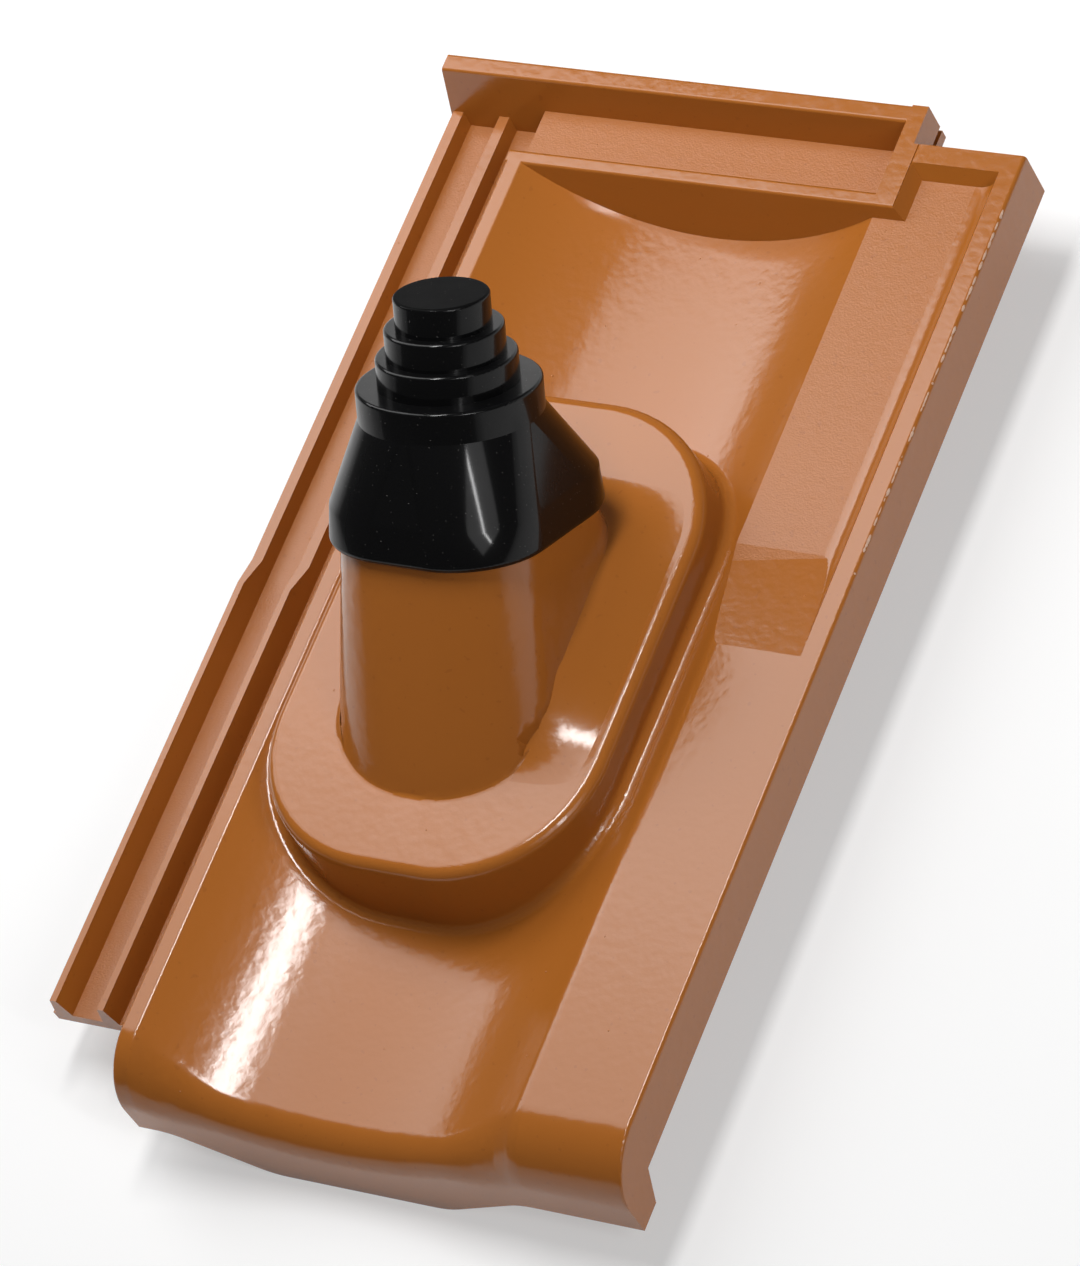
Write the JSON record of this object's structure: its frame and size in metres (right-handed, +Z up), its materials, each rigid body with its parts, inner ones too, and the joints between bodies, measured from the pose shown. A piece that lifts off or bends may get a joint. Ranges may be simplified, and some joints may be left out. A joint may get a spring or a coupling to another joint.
{
  "type": "antenna roof tile",
  "caption": "Interlocking roof tile with a raised plinth, a tilted oval spout and a stepped rubber boot that lets an antenna mast pass through the roof.",
  "frame": {"origin": "middle of the tile's plan outline, on the plane through the lower edge of the nose lip and the feet of the batten nibs", "axes": "+X across the tile from the side lock to the cover panel, +Y from the nose at the eave to the head, +Z up through the weather face"},
  "size_m": [0.268, 0.461, 0.1945],
  "materials": {
    "tile_brown": "glossy brown with a fine orange-peel texture",
    "boot_black": "smooth black, glossy on the sides and matt on the top face"
  },
  "bodies": {
    "root": {"tile": "tile_brown", "boot": "boot_black"}
  },
  "joints": []
}
